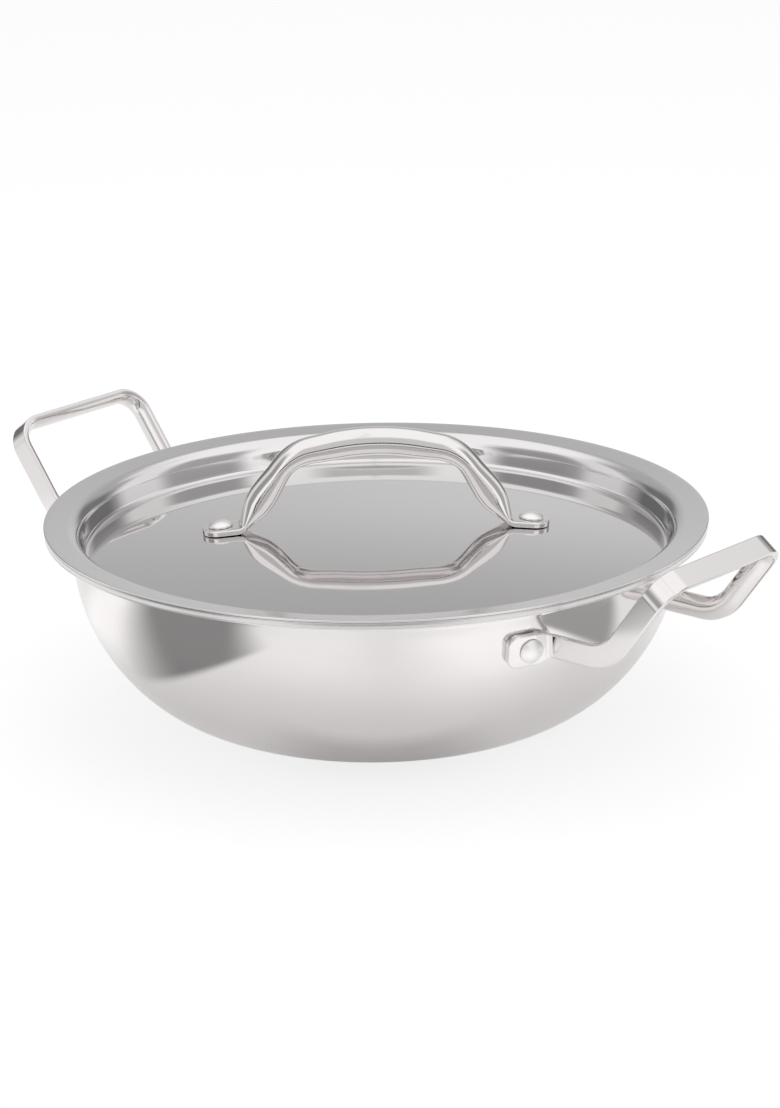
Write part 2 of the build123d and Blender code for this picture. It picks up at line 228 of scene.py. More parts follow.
def sheet_outline(first: Array, second: Array, first_round: float, second_round: float) -> Array:
    """The outline of a sheet between two parallel lines that both start on the axis and end at its edge.

    The two corners of the edge are quarter circles, tangent to the lines and to the edge.

    Args:
        first: One face of the sheet, from the axis to the edge.
        second: The other face, from the axis to the edge.
        first_round: Radius of the corner between the first face and the edge.
        second_round: Radius of the corner between the second face and the edge.

    Returns:
        The outline from the axis out along the first face and back along the second.
    """
    along = unit(first[-1] - first[-2])
    across = unit(second[-1] - first[-1])
    swing = np.linspace(0, math.pi / 2, 7)[:, None]
    near = first[-1] + first_round * (across - along)
    near = near + first_round * (np.sin(swing) * along - np.cos(swing) * across)
    far = second[-1] - second_round * (across + along)
    far = far + second_round * (np.cos(swing) * along + np.sin(swing) * across)
    back = shortened(second, second_round)[::-1]
    outline = np.concatenate([shortened(first, first_round), near, far, back])
    outline[[0, -1], 0] = 0.0
    return outline


def linked(name: str, data: bpy.types.ID) -> Piece:
    """A new object with its data, linked to the scene."""
    made = bpy.data.objects.new(name, data)
    bpy.context.scene.collection.objects.link(made)
    return made


def skin(name: str, rings: Array, poles: Array) -> Piece:
    """A closed mesh over rings of points, closed at each end by a fan to a pole.

    Faces join each ring to the next. The UV map holds metres along the piece, by the longest way from
    ring to ring, and metres round each ring. The faces are turned outwards by the sign of the volume
    that they hold, the sum of a . (b x c) + a . (c x d) over the quads.

    Args:
        name: The piece's name.
        rings: Rings of points in millimetres, all with the same number of points.
        poles: The two end points.

    Returns:
        The new object, linked to the scene.
    """
    stations, around = rings.shape[:2]
    corners = np.concatenate([rings.reshape(-1, 3), poles])
    here = np.arange(stations * around).reshape(stations, around)
    after = np.roll(here, -1, axis=1)
    quads = np.stack([here[:-1], after[:-1], after[1:], here[1:]], axis=2).reshape(-1, 4)
    pole = np.full(around, stations * around)
    fans = [np.stack([after[0], here[0], pole], axis=1), np.stack([here[-1], after[-1], pole + 1], axis=1)]
    fans = np.concatenate(fans)
    along = np.concatenate([[0], np.cumsum(np.linalg.norm(np.diff(rings, axis=0), axis=2).max(axis=1))])
    lengths = np.linalg.norm(np.roll(rings, -1, axis=1) - rings, axis=2)
    round_ring = np.concatenate([np.zeros((stations, 1)), np.cumsum(lengths, axis=1)], axis=1)
    places = np.stack([along[:, None] + 0 * round_ring, round_ring], axis=2)
    places = [places[:-1, :-1], places[:-1, 1:], places[1:, 1:], places[1:, :-1]]
    quad_uv = np.stack(places, axis=2).reshape(-1, 4, 2)
    ends = np.zeros((6 * around, 2))
    ends[3 * around :] = along[-1]
    a, b, c, d = corners[quads.T]
    if np.sum(a * (np.cross(b, c) + np.cross(c, d))) < 0:
        quads = quads[:, ::-1]
        quad_uv = quad_uv[:, ::-1]
        fans = fans[:, ::-1]
    mesh = bpy.data.meshes.new(name)
    mesh.from_pydata((corners * MILLIMETRE).tolist(), [], quads.tolist() + fans.tolist())
    uv = np.concatenate([quad_uv.reshape(-1, 2), ends]) * MILLIMETRE
    mesh.uv_layers.new(name="UVMap").data.foreach_set("uv", uv.astype(np.float32).ravel())
    mesh.validate()
    mesh.shade_smooth()
    return linked(name, mesh)


def turned_skin(name: str, outline: Array, placing: Array | None = None) -> Piece:
    """A closed mesh of an outline turned about an axis, on which its first and last points lie.

    A point at radius r and height z becomes the circle (r cos a, r sin a, z), and is then placed.

    Args:
        name: The piece's name.
        outline: Points, each a radius and a height.
        placing: A 3 by 4 matrix in millimetres that moves the turned shape, or None to leave it.

    Returns:
        The new object.
    """
    around = AROUND if outline[:, 0].max() > SMALL_RADIUS else AROUND_SMALL
    angle = np.linspace(0, 2 * math.pi, around, endpoint=False)
    radius, height = outline[:, 0:1], outline[:, 1:2]
    rings = np.stack([radius * np.cos(angle), radius * np.sin(angle), height + 0 * angle], axis=2)
    if placing is not None:
        rings = rings @ placing[:, :3].T + placing[:, 3]
    return skin(name, rings[1:-1], rings[[0, -1], 0])


def bent_path(corners: Array, radii: list[float], spacing: float) -> tuple[Array, Array]:
    """A path of straight runs whose corners are arcs, with its directions.

    At a corner the arc starts r tan(turn / 2) before it. With d the direction before the corner and n
    the unit vector across it on the turn's side, the arc's points are r (sin a d + (1 - cos a) n) from
    its start, and its directions are cos a d + sin a n.

    Args:
        corners: The corner points, with the two ends.
        radii: A radius for each inner corner.
        spacing: The widest step along the path.

    Returns:
        The points and the unit directions.
    """
    here = corners[0]
    points = [here[None]]
    directions = [unit(corners[1:2] - here)]
    for corner, following, radius in zip(corners[1:], corners[2:], radii):
        before = unit(corner - here)
        after = unit(following - corner)
        turn = math.acos(before @ after)
        run = np.linalg.norm(corner - here) - radius * math.tan(turn / 2)
        stops = run_stops(run, spacing)[1:, None]
        steps = max(math.ceil(turn / math.radians(ARC_STEP)), math.ceil(radius * turn / spacing), 2)
        swing = turn * np.linspace(0, 1, steps + 1)[1:, None]
        across = (after - before * math.cos(turn)) / math.sin(turn)
        start = here + run * before
        points += [here + stops * before]
        points += [start + radius * (np.sin(swing) * before + (1 - np.cos(swing)) * across)]
        directions += [before + 0 * stops, np.cos(swing) * before + np.sin(swing) * across]
        here = points[-1][-1]
    stops = run_stops(np.linalg.norm(corners[-1] - here), spacing)[1:, None]
    before = unit(corners[-1] - here)
    points += [here + stops * before]
    directions += [before + 0 * stops]
    return np.concatenate(points), np.concatenate(directions)


def distances(points: Array) -> Array:
    """Distance of each point of a line from its start, along the line."""
    return np.concatenate([[0], np.cumsum(np.linalg.norm(np.diff(points, axis=0), axis=1))])


def resampled(path: tuple[Array, Array], stops: Array) -> tuple[Array, Array]:
    """A path's points and unit directions at given distances along it.

    Args:
        path: The points and directions.
        stops: The distances from its start.

    Returns:
        The new points and directions.
    """
    along = distances(path[0])
    points, directions = (
        np.stack([np.interp(stops, along, line[:, k]) for k in range(3)], axis=1) for line in path
    )
    return points, unit(directions)


# Finishes: what each surface is made of and how it was worked


def linear(code: str) -> tuple[float, ...]:
    """A colour written as sRGB hex turned to linear, by the sRGB curve.

    Args:
        code: Six hex digits after a hash sign.

    Returns:
        Red, green, blue and an alpha of 1.
    """
    values = np.array([int(code[k : k + 2], 16) for k in (1, 3, 5)]) / 255
    values = np.where(values <= 0.04045, values / 12.92, ((values + 0.055) / 1.055) ** 2.4)
    return (*values.tolist(), 1.0)


def add_node(
    tree: Tree,
    kind: str,
    settings: dict[str, object] | None = None,
    inputs: dict[str | int, object] | None = None,
    output: str | int = 0,
) -> Socket | None:
    """Adds one node with its settings and links.

    Args:
        tree: The tree that gets the node.
        kind: The node's type name, past the word ShaderNode.
        settings: Values for the node's own properties.
        inputs: For each input, a value or the output socket that feeds it.
        output: Which of its outputs is wanted.

    Returns:
        That output, or None from a node that has none.
    """
    node = tree.nodes.new(f"ShaderNode{kind}")
    for key, value in (settings or {}).items():
        setattr(node, key, value)
    for key, value in (inputs or {}).items():
        if isinstance(value, Socket):
            tree.links.new(value, node.inputs[key])
        else:
            node.inputs[key].default_value = value
    return node.outputs[output] if node.outputs else None


def cleared(owner: bpy.types.Material | bpy.types.World) -> Tree:
    """The emptied node tree of a new material or world."""
    owner.use_nodes = True
    owner.node_tree.nodes.clear()
    return owner.node_tree


def figure(tree: Tree, operation: str, *values: float | Socket) -> Socket:
    """The result of a Math node on its values or sockets."""
    return add_node(tree, "Math", {"operation": operation}, dict(enumerate(values)))


def own_place(tree: Tree) -> Socket:
    """The place on the piece in its own frame, in metres."""
    return add_node(tree, "TexCoord", output="Object")


def noise(tree: Tree, place: Socket, scale: float, detail: float, roughness: float) -> Socket:
    """Noise at a place: how many swells to a unit, how many finer layers, and how strong they are."""
    inputs = {"Vector": place, "Scale": scale, "Detail": detail, "Roughness": roughness}
    return add_node(tree, "TexNoise", None, inputs)


def scaled(tree: Tree, place: Socket, pitch: float) -> Socket:
    """A place counted in steps of a pitch in millimetres."""
    return add_node(tree, "VectorMath", {"operation": "SCALE"}, {0: place, "Scale": 1 / (pitch * MILLIMETRE)})


def mapped(tree: Tree, value: Socket, given: tuple, wanted: tuple, smooth: bool = False) -> Socket:
    """A value taken from one range to another and held inside it.

    Args:
        tree: The tree that gets the node.
        value: The value's socket.
        given: The two ends of the value's range.
        wanted: The results at those ends.
        smooth: Whether the way between is a smooth step and not a straight line.

    Returns:
        The result's socket.
    """
    shape = {"interpolation_type": "SMOOTHSTEP" if smooth else "LINEAR"}
    inputs = {"From Min": given[0], "From Max": given[1], "To Min": wanted[0], "To Max": wanted[1]}
    return add_node(tree, "MapRange", shape, {"Value": value, **inputs})


@dataclass(frozen=True)
class SteelFinish:
    """Steel, or the core's aluminium, as worked on the wheel, with grain, smears and hairlines.

    The metal has a pale neutral colour. A grain of fine lines follows the way that the piece was
    worked. Broad faint smears change the roughness. Sparse hairline scratches cross it: they are
    drawn about 0.7 mm wide, which is coarser than real ones, so that the frame can show them.
    """

    name: str
    colour: str
    roughness: float
    smear: float
    grain_pitch: float
    grain_height: float
    hairline_height: float

    def grain_place(self, tree: Tree) -> Socket:
        """The coordinates, in grain pitches, in which the grain's lines are drawn."""
        raise NotImplementedError

    def worked(self, tree: Tree, grain: Socket) -> Socket:
        """The roughness, changed by smears of the hand and the wheel and a little by the grain.

        Args:
            tree: The tree that gets the nodes.
            grain: The grain's noise.

        Returns:
            The roughness's socket.
        """
        smear = noise(tree, own_place(tree), 1 / (SMEAR_WIDTH * MILLIMETRE), 3.0, 0.55)
        around = (self.roughness - self.smear, self.roughness + self.smear)
        broad = mapped(tree, smear, (0.3, 0.7), around)
        by_grain = GRAIN_SHARE * self.smear
        streak = mapped(tree, grain, (0.25, 0.75), (-by_grain, by_grain))
        return add_node(tree, "Math", {"operation": "ADD", "use_clamp": True}, {0: broad, 1: streak})

    def material(self) -> bpy.types.Material:
        """The finish as a Blender material, made once and then shared."""
        ready = bpy.data.materials.get(self.name)
        if ready:
            return ready
        made = bpy.data.materials.new(self.name)
        tree = cleared(made)
        grain = noise(tree, self.grain_place(tree), 1.0, 2.0, 0.6)
        crossing = {"Rotation": (0.5, 0.35, 0.9), "Scale": (1500.0, 60.0, 60.0)}
        crossed = add_node(tree, "Mapping", None, {"Vector": own_place(tree), **crossing})
        hairlines = mapped(tree, noise(tree, crossed, 1.0, 1.0, 0.5), (0.68, 0.78), (0.0, -1.0))
        relief = {"Height": grain, "Strength": 1.0, "Distance": self.grain_height * MILLIMETRE}
        relief = {"Normal": add_node(tree, "Bump", None, relief), "Height": hairlines, "Strength": 1.0}
        relief["Distance"] = self.hairline_height * MILLIMETRE
        look = {"Base Color": linear(self.colour), "Metallic": 1.0}
        look["Normal"] = add_node(tree, "Bump", None, relief)
        look["Roughness"] = self.worked(tree, grain)
        steel = add_node(tree, "BsdfPrincipled", None, look)
        add_node(tree, "OutputMaterial", None, {"Surface": steel})
        return made


@dataclass(frozen=True)
class TurnedSteel(SteelFinish):
    """Steel polished while it turned on its axis: the grain runs in circles about Z.

    The wheel reaches the outermost ring less well, so past the satin radius it can stay softer.
    """

    satin_from: float = 0.0
    satin: float = 0.0

    def worked(self, tree: Tree, grain: Socket) -> Socket:
        """The roughness, with more added by a smooth step past the satin radius where there is one.

        Args:
            tree: The tree that gets the nodes.
            grain: The grain's noise.

        Returns:
            The roughness's socket.
        """
        rough = super().worked(tree, grain)
        if not self.satin_from:
            return rough
        edge = [(self.satin_from + off) * MILLIMETRE for off in (-SATIN_EDGE, SATIN_EDGE)]
        return figure(tree, "ADD", rough, mapped(tree, self.radius(tree), edge, (0.0, self.satin), True))

    def radius(self, tree: Tree) -> Socket:
        """Distance of a place from the axis."""
        flat = {0: own_place(tree), 1: (1.0, 1.0, 0.0)}
        flat = add_node(tree, "VectorMath", {"operation": "MULTIPLY"}, flat)
        return add_node(tree, "VectorMath", {"operation": "LENGTH"}, {0: flat}, "Value")

    def grain_place(self, tree: Tree) -> Socket:
        """Radius and height in grain pitches, so each line of the grain is a circle."""
        height = add_node(tree, "SeparateXYZ", None, {"Vector": own_place(tree)}, "Z")
        ring = add_node(tree, "CombineXYZ", None, {"X": self.radius(tree), "Y": height})
        return scaled(tree, ring, self.grain_pitch)


@dataclass(frozen=True)
class DrawnSteel(SteelFinish):
    """Steel polished along its length: the grain runs with the piece's own UV map."""

    def grain_place(self, tree: Tree) -> Socket:
        """UV in grain pitches, drawn out 30 times along the piece."""
        across = 1 / (self.grain_pitch * MILLIMETRE)
        place = add_node(tree, "UVMap", {"uv_map": "UVMap"})
        return add_node(tree, "Mapping", None, {"Vector": place, "Scale": (across / 30, across, 1.0)})


@dataclass(frozen=True)
class SpottedSteel(SteelFinish):
    """Small polished pieces with no one way of working: the grain has no direction."""

    def grain_place(self, tree: Tree) -> Socket:
        """The piece's own place in grain pitches."""
        return scaled(tree, own_place(tree), self.grain_pitch)


# Stainless steel, mirror-polished on a turning lathe: clear but slightly soft reflections
BOWL_STEEL = TurnedSteel("mirror_stainless_bowl", "#E6E3E2", 0.09, 0.025, 1.4, 0.0008, 0.0004)

# Stainless steel, satin: the inside of the bowl, turned with a coarser grit for cooking
INSIDE_STEEL = TurnedSteel("satin_stainless_inside", "#D8D5D3", 0.27, 0.05, 0.8, 0.004, 0.0015)

# Aluminium, bare: the core's edge, softer and whiter than steel
CORE_ALUMINIUM = TurnedSteel("bare_aluminium_core", "#E4E3E2", 0.24, 0.04, 0.5, 0.003, 0.001)

# Stainless steel, mirror-polished: the pressed lid, the clearest mirror, with a satin outer ring
LID_STEEL = TurnedSteel("mirror_stainless_lid", "#E2E0E0", 0.045, 0.02, 1.6, 0.0006, 0.0003, 115.0, 0.13)

# Stainless steel, polished along the strap and the tube
HANDLE_STEEL = DrawnSteel("drawn_stainless_handles", "#E8E5E4", 0.08, 0.02, 0.55, 0.0012, 0.0004)

# Stainless steel, tumbled bright: the rivets
RIVET_STEEL = SpottedSteel("bright_stainless_rivets", "#F6F4F3", 0.4, 0.04, 1.1, 0.0015, 0.0004)


def dressed(piece: Piece, finish: SteelFinish, body: Body, slot: Slot, node: str) -> None:
    """Gives a piece its finish, its body and the node that it stands for.

    Args:
        piece: The new piece.
        finish: Its finish.
        body: The body that it rides on.
        slot: The record's material slot; not used.
        node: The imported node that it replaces.
    """
    piece.data.materials.append(finish.material())
    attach(piece, body.value)
    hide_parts(node)
    LOG.info("%s: %d faces, rides on %s", piece.name, len(piece.data.polygons), body.value)


# Rivets: one shape, set through a side handle's pad or a tab of the lid handle


@dataclass(frozen=True)
class Rivet:
    """A rivet with a low domed head and a flatter tail, turned about its own axis."""

    grip_below: float
    grip_above: float
    head_radius: float = 4.65
    head_height: float = 2.2
    head_edge: float = 0.7
    tail_height: float = 1.2
    tail_edge: float = 0.5
    shank_radius: float = 2.4
    foot_rounding: float = 0.12
    brow_rounding: float = 0.3
    brow_gap: float = 0.34

    def cap(self, foot: float, way: float, height: float, edge: float) -> Array:
        """One head from the shank to the axis: an upright edge, then a ball's cap.

        The ball's radius is (r^2 + h^2) / 2h, with r the head's radius and h the cap's rise over the
        edge. A small curve rounds the corner at the foot, and another the one under the cap.

        Args:
            foot: The level that the head stands on.
            way: 1 for a head above it, -1 for one below it.
            height: The head's height.
            edge: Height of the upright edge.

        Returns:
            Points, each a radius and a height.
        """
        rise = height - edge
        ball = (self.head_radius**2 + rise**2) / (2 * rise)
        swing = np.linspace(math.asin(self.head_radius / ball), 0, 22)
        dome = np.stack([ball * np.sin(swing), ball * np.cos(swing) - ball + height], axis=1)
        inner = dome[np.linalg.norm(dome - dome[0], axis=1) > self.brow_gap]
        low = np.array([self.head_radius, 0.0])
        low = curve(low - (self.foot_rounding, 0), low, low + (0, self.foot_rounding), 4)
        brow = np.array([self.head_radius, edge])
        over = self.brow_rounding * unit(dome[1] - dome[0])
        brow = curve(brow - (0, self.brow_rounding), brow, brow + over, 6)
        outline = np.concatenate([[(self.shank_radius, 0.0)], low, brow, inner])
        outline[-1, 0] = 0.0
        outline[:, 1] = foot + way * outline[:, 1]
        return outline

    def build(self, name: str, placing: Array, body: Body, node: str) -> None:
        """Makes the rivet, put in its place by a matrix, and dresses it.

        Args:
            name: The piece's name.
            placing: The 3 by 4 matrix in millimetres.
            body: The body that it rides on.
            node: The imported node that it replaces.
        """
        head = self.cap(self.grip_above, 1, self.head_height, self.head_edge)
        tail = self.cap(-self.grip_below, -1, self.tail_height, self.tail_edge)
        made = turned_skin(name, np.concatenate([tail[::-1], head]), placing)
        dressed(made, RIVET_STEEL, body, Slot.RIVETS, node)


# Bowl


@dataclass(frozen=True)
class Bowl:
    """The three bonded sheets of the bowl, each a closed turned skin with its rim corners rounded."""

    flat_base_radius: float = 52.0
    wall_radius: float = 116.5
    rim_radius: float = 126.5
    rim_height: float = 76.6
    flare_slope: float = 6.0
    flare_bend_radius: float = 4.0
    belly_join_angle: float = 45.0
    outer_layer: float = 0.5
    core_layer: float = 1.5
    inner_layer: float = 0.5
    bond_gap: float = 0.02
    rim_rounding: float = 0.35
    edge_break: float = 0.08

    @property
    def sheet(self) -> float:
        """The whole thickness of the wall."""
        return self.outer_layer + self.core_layer + self.inner_layer + 2 * self.bond_gap

    @property
    def flare_run(self) -> float:
        """Length of the flare's straight part on its underside."""
        underside = self.rim_radius + self.sheet * sine(self.flare_slope)
        bend_reach = self.flare_bend_radius * (1 - sine(self.flare_slope))
        return (underside - self.wall_radius - bend_reach) / cosine(self.flare_slope)

    @property
    def neck_height(self) -> float:
        """Height at which the wall stands upright, under the flare."""
        underside = self.rim_height - self.sheet * cosine(self.flare_slope)
        bend_rise = self.flare_bend_radius * cosine(self.flare_slope)
        return underside - self.flare_run * sine(self.flare_slope) - bend_rise

    @property
    def belly_radii(self) -> tuple[float, float]:
        """Radii of the lower and the upper arc of the belly, which meet at the join angle."""
        join_sine = sine(self.belly_join_angle)
        join_cosine = cosine(self.belly_join_angle)
        reach = self.wall_radius - self.flat_base_radius
        divisor = join_sine + join_cosine - 1
        lower = (reach * join_cosine - self.neck_height * (1 - join_sine)) / divisor
        upper = (self.neck_height * join_sine - reach * (1 - join_cosine)) / divisor
        return lower, upper

    def face(self, offset: float) -> Array:
        """The line of a sheet's face, a distance inside the bowl's outside."""
        lower, upper = self.belly_radii
        moves = [
            self.flat_base_radius,
            Bend(lower, self.belly_join_angle),
            Bend(upper, 90 - self.belly_join_angle),
            Bend(self.flare_bend_radius, self.flare_slope - 90),
            self.flare_run,
        ]
        return traced((0, 0), 0, moves, offset, spacing=1.9, turn_step=4.0)

    def build(self) -> None:
        """Makes the three sheets and dresses them."""
        core = self.outer_layer + self.bond_gap
        inner = self.sheet - self.inner_layer
        rim, edge = self.rim_rounding, self.edge_break
        layers = (
            ("bowl_outside", 0.0, self.outer_layer, rim, edge),
            ("bowl_aluminium", core, core + self.core_layer, edge, edge),
            ("bowl_inside", inner, self.sheet, edge, rim),
        )
        dress = (
            (BOWL_STEEL, Body.PAN, Slot.OUTSIDE, "bowl_outer_layer"),
            (CORE_ALUMINIUM, Body.PAN, Slot.CORE, "bowl_core"),
            (INSIDE_STEEL, Body.PAN, Slot.INSIDE, "bowl_inner_layer"),
        )
        for (name, near, far, low, high), looks in zip(layers, dress):
            outline = sheet_outline(self.face(near), self.face(far), low, high)
            dressed(turned_skin(name, outline), *looks)


# Side handles


@dataclass(frozen=True)
class SideHandle:
    """A loop handle: a D-shaped strap with a pad on the wall at each end, and its two rivets."""

    bowl: Bowl
    name: str
    turn: float
    projection: float = 46.5
    bar_rise: float = 31.8
    mount_drop: float = 11.2
    mount_setback: float = 8.66
    tilt: float = 53.0
    leg_spacing: float = 66.0
    strap_width: float = 8.8
    strap_thickness: float = 4.4
    strap_edge: float = 2.0
    strap_rounding: float = 0.5
    neck_bend_radius: float = 4.5
    leg_bend_radius: float = 18.0
    bar_corner_radius: float = 9.0
    pad_thickness: float = 3.0
    pad_height: float = 12.6
    pad_outer_length: float = 9.0
    pad_corner_radius: float = 4.0
    pad_fade: tuple[float, float] = (11.0, 19.0)
    wall_fade: tuple[float, float] = (1.0, 6.4)
    neck_inset: float = 0.3
    seat_gap: float = 0.1
    end_rounding: float = 0.45
    corner_margin: float = 0.12
    crown_soft_from: float = 0.86
    crown_soft_share: float = 0.012

    @property
    def mount_height(self) -> float:
        """Height of the rivets."""
        return self.bowl.neck_height - self.mount_drop

    @property
    def reach(self) -> float:
        """Distance of the bar's middle line from the bowl's axis."""
        return self.bowl.wall_radius + self.projection

    @property
    def mount_tilt(self) -> float:
        """How far the wall leans at the rivets, from upright."""
        return math.degrees(math.asin(self.mount_drop / self.bowl.belly_radii[1]))

    @property
    def mount_radius(self) -> float:
        """Radius of the bowl's outside at the rivets."""
        return self.bowl.wall_radius - self.bowl.belly_radii[1] * (1 - cosine(self.mount_tilt))

    @property
    def middle_depth(self) -> float:
        """How far outside the wall the strap's middle line lies at the pad."""
        return self.seat_gap + self.pad_thickness - self.neck_inset - self.strap_thickness / 2

    @property
    def mount_angle(self) -> float:
        """Angle about Z between the handle's middle and a rivet."""
        reach = self.mount_radius + self.middle_depth
        return math.degrees(math.asin((self.leg_spacing / 2 + self.mount_setback) / reach))

    @property
    def pad(self) -> tuple[float, float]:
        """The strap's middle line at a rivet, right of and behind the bowl's axis."""
        reach = self.mount_radius + self.middle_depth
        return reach * cosine(self.mount_angle), reach * sine(self.mount_angle)

    @property
    def pad_run(self) -> float:
        """Distance from a rivet to the corner where the strap turns outwards."""
        return (self.pad[1] - self.leg_spacing / 2) / cosine(self.mount_angle)

    @property
    def leg_ends(self) -> tuple[float, float]:
        """Distances from the bowl's axis of the corners where a level leg starts and rises."""
        start = self.pad[0] + self.pad_run * sine(self.mount_angle)
        return start, self.reach - self.bar_rise / tangent(self.tilt)

    def path(self) -> tuple[Array, Array]:
        """The strap's middle line, from one pad's outer end round the loop to the other's."""
        leg_y = self.leg_spacing / 2
        start_x = self.pad[0] - self.pad_outer_length * sine(self.mount_angle)
        start_y = self.pad[1] + self.pad_outer_length * cosine(self.mount_angle)
        half = np.array(
            [
                (start_x, start_y, self.mount_height),
                (self.leg_ends[0], leg_y, self.mount_height),
                (self.leg_ends[1], leg_y, self.mount_height),
                (self.reach, leg_y, self.mount_height + self.bar_rise),
            ]
        )
        corners = np.concatenate([half * (1, -1, 1), half[::-1]])
        radii = [self.neck_bend_radius, self.leg_bend_radius, self.bar_corner_radius]
        return bent_path(corners, radii + radii[::-1], spacing=0.8)

    def lean(self, from_end: Array) -> Array:
        """How far the strap's width leans back at each station: none on the pads, the tilt on the loop.

        The lean grows in step with the leg's bend, as the distance along its arc over its radius.

        Args:
            from_end: Distance of each station from the nearer end.

        Returns:
            The lean at each station, in radians.
        """
        neck_turn = 90 - self.mount_angle
        neck_reach = self.neck_bend_radius * tangent(neck_turn / 2)
        neck_arc = self.neck_bend_radius * math.radians(neck_turn)
        bend_reach = self.leg_bend_radius * tangent(self.tilt / 2)
        pad = self.pad_outer_length + self.pad_run - neck_reach
        leg = self.leg_ends[1] - self.leg_ends[0] - neck_reach - bend_reach
        past = (from_end - pad - neck_arc - leg) / self.leg_bend_radius
        return np.clip(past, 0, math.radians(self.tilt))

    def sections(self, along: Array) -> Array:
        """The section at each station, as places across the width and through the thickness.

        The pad's section is a flat bar that lies on the wall, and the strap's is a D with its crown
        towards the fingers. A smooth step changes one into the other just past the pad. The width
        follows the pad's plan: a quarter circle at each corner of its end, then level, then a smooth
        step down to the strap. Both ends are drawn together by a small circle, so no edge is sharp.

        Args:
            along: Distance of each station from the nearer end.

        Returns:
            For each station, a ring of pairs.
        """
        back = self.strap_thickness / 2
        strap = self.strap_outline(self.strap_width / 2, back)
        bottom = self.seat_gap - self.middle_depth
        level = np.clip((strap[:, 1] - back + self.strap_edge) / self.strap_edge, 0, 1)
        wider = self.pad_height / self.strap_width
        pad = np.stack([strap[:, 0] * wider, bottom + level * self.pad_thickness], axis=1)
        share = eased(along, *self.pad_fade)[:, None, None]
        rings = (1 - share) * pad + share * strap
        width = ((1 - share) * self.pad_height + share * self.strap_width)[:, 0] / 2
        rings[:, :, 0] *= 1 - drawn_in(along, self.pad_corner_radius)[:, None] / width
        middle = bottom + self.pad_thickness / 2
        shrink = 1 - drawn_in(along, self.end_rounding) / (self.pad_thickness / 2)
        rings[:, :, 1] = middle + (rings[:, :, 1] - middle) * shrink[:, None]
        return rings

    def strap_outline(self, half_width: float, back: float) -> Array:
        """The D: flat outside, upright edges, and a crown towards the fingers.

        The crown is the parabola y = s t^2 - b over the width, with s its rise and b half the
        thickness. Its last points are drawn in slightly, so the corner at its ends is soft.

        Args:
            half_width: Half the strap's width.
            back: Level of the flat outside over the strap's middle line.

        Returns:
            A ring of pairs.
        """
        swing = np.linspace(0, math.pi / 2, 7)
        rounding, margin = self.strap_rounding, self.corner_margin
        across = np.concatenate([[0], rounding * (1 - np.cos(swing)), [rounding + margin]])
        rise = np.concatenate([[-margin], rounding * np.sin(swing), [rounding]])
        left = np.stack([across - half_width, back - rounding + rise], axis=1)
        flat = np.linspace(-0.8, 0.8, 9)[:, None] * (half_width, 0) + (0, back)
        place = np.linspace(1, -1, 33)
        crown_rise = 2 * back - self.strap_edge
        past = np.clip((np.abs(place) - self.crown_soft_from) / (1 - self.crown_soft_from), 0, 1)
        soft = 1 - self.crown_soft_share * past**2
        crown = np.stack([half_width * place * soft, crown_rise * place**2 - back], axis=1)
        return np.concatenate([left, flat, left[::-1] * (-1, 1), crown])

    def on_wall(self, u: Array, rings: Array) -> Array:
        """The section's points laid on the bowl's wall at the pad towards +Y.

        The wall is a ring surface: at tilt t below the neck, the radius is the arc centre's radius plus
        the arc's radius times cos t, and the height is the neck's less the arc's radius times sin t.
        The width follows the tilt, and the distance u from the rivet follows the angle about Z.

        Args:
            u: Distance of each station from the rivet, towards the middle of the handle.
            rings: The sections.

        Returns:
            The rings of points.
        """
        arc = self.bowl.belly_radii[1]
        depth = arc + rings[:, :, 1] + self.middle_depth
        tilt = math.radians(self.mount_tilt) - rings[:, :, 0] / arc
        angle = math.radians(self.mount_angle) - u[:, None] / self.mount_radius
        radius = self.bowl.wall_radius - arc + depth * np.cos(tilt)
        height = self.bowl.neck_height - depth * np.sin(tilt)
        return np.stack([radius * np.cos(angle), radius * np.sin(angle), height], axis=2)

    def build(self) -> None:
        """Makes the strap with its pads, and the two rivets, and dresses them.

        The strap's rings change by a smooth step from those laid on the wall to those swept along the
        path, whose width leans back and whose thickness is square to it and to the path.
        """
        path = self.path()
        along = distances(path[0])
        ends = np.array([0.05, 0.12, 0.22, 0.35, 0.5])
        stops = np.unique(np.concatenate([along, ends, along[-1] - ends]))
        points, directions = resampled(path, stops)
        from_end = np.minimum(stops, stops[-1] - stops)
        lean = self.lean(from_end)
        width = np.stack([-np.sin(lean), np.zeros_like(lean), np.cos(lean)], axis=1)
        outward = unit(np.cross(directions, width))
        rings = self.sections(from_end)
        swept = points[:, None] + rings[:, :, 0:1] * width[:, None] + rings[:, :, 1:2] * outward[:, None]
        u = from_end - self.pad_outer_length
        walled = self.on_wall(u, rings)
        walled[:, :, 1] *= np.where(stops < stops[-1] / 2, -1.0, 1.0)[:, None]
        share = eased(u, *self.wall_fade)[:, None, None]
        spin = about_z(self.turn)
        rings = ((1 - share) * walled + share * swept) @ spin.T
        handle = skin(f"{self.name}_loop", rings, rings[[0, -1]].mean(axis=1))
        dressed(handle, HANDLE_STEEL, Body.PAN, Slot.HANDLES, f"{self.name}_handle")
        rivet = Rivet(self.bowl.sheet + TAIL_GAP, self.seat_gap + self.pad_thickness + HEAD_GAP)
        front = -1 if self.turn == 0 else 1
        for place, way in (("front", front), ("rear", -front)):
            name, node = f"{self.name}_{place}_rivet", f"{self.name}_handle_{place}_rivet"
            rivet.build(name, spin @ self.mount(way), Body.PAN, node)

